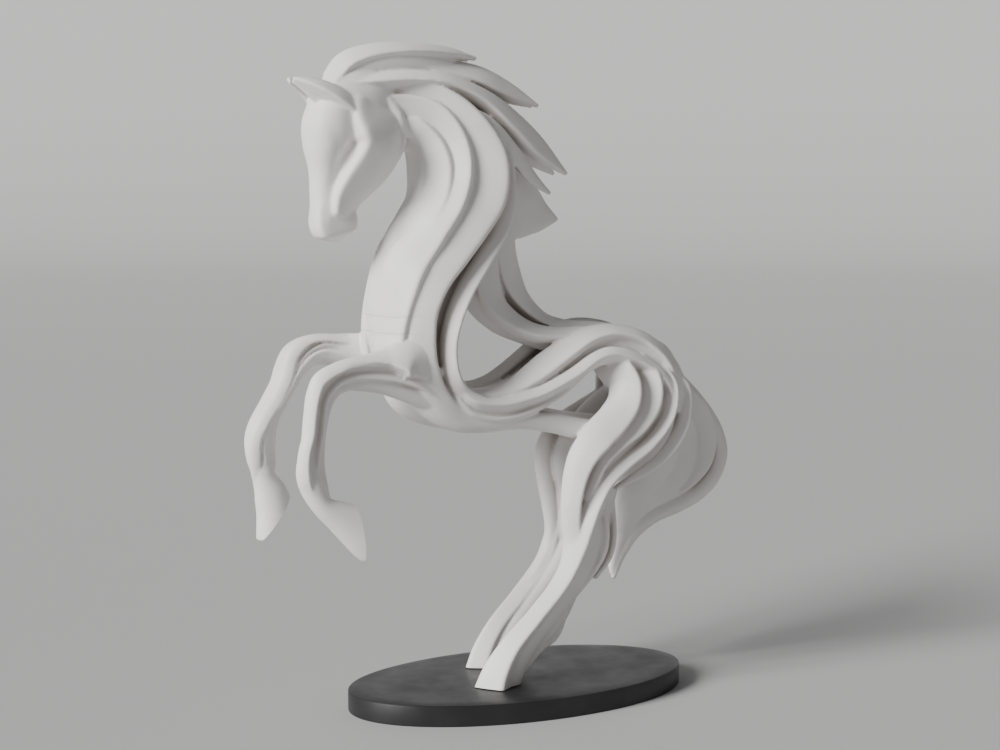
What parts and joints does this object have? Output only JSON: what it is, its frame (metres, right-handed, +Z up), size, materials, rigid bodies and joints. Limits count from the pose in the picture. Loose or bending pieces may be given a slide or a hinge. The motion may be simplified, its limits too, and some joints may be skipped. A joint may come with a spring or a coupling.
{
  "type": "rearing horse figure on an oval base",
  "caption": "Stylised rearing horse made of flowing ribbons, standing on its hind hooves on a thin oval base.",
  "frame": {"origin": "centre of the oval base's underside", "axes": "+Z up; -X the way the horse heads; -Y the horse's left side"},
  "size_m": [0.1609, 0.064, 0.1993],
  "materials": {
    "horse": "warm white, matte, with fine printed layer lines",
    "base": "black, satin"
  },
  "bodies": {
    "root": {"horse": "horse", "base": "base"}
  },
  "joints": []
}
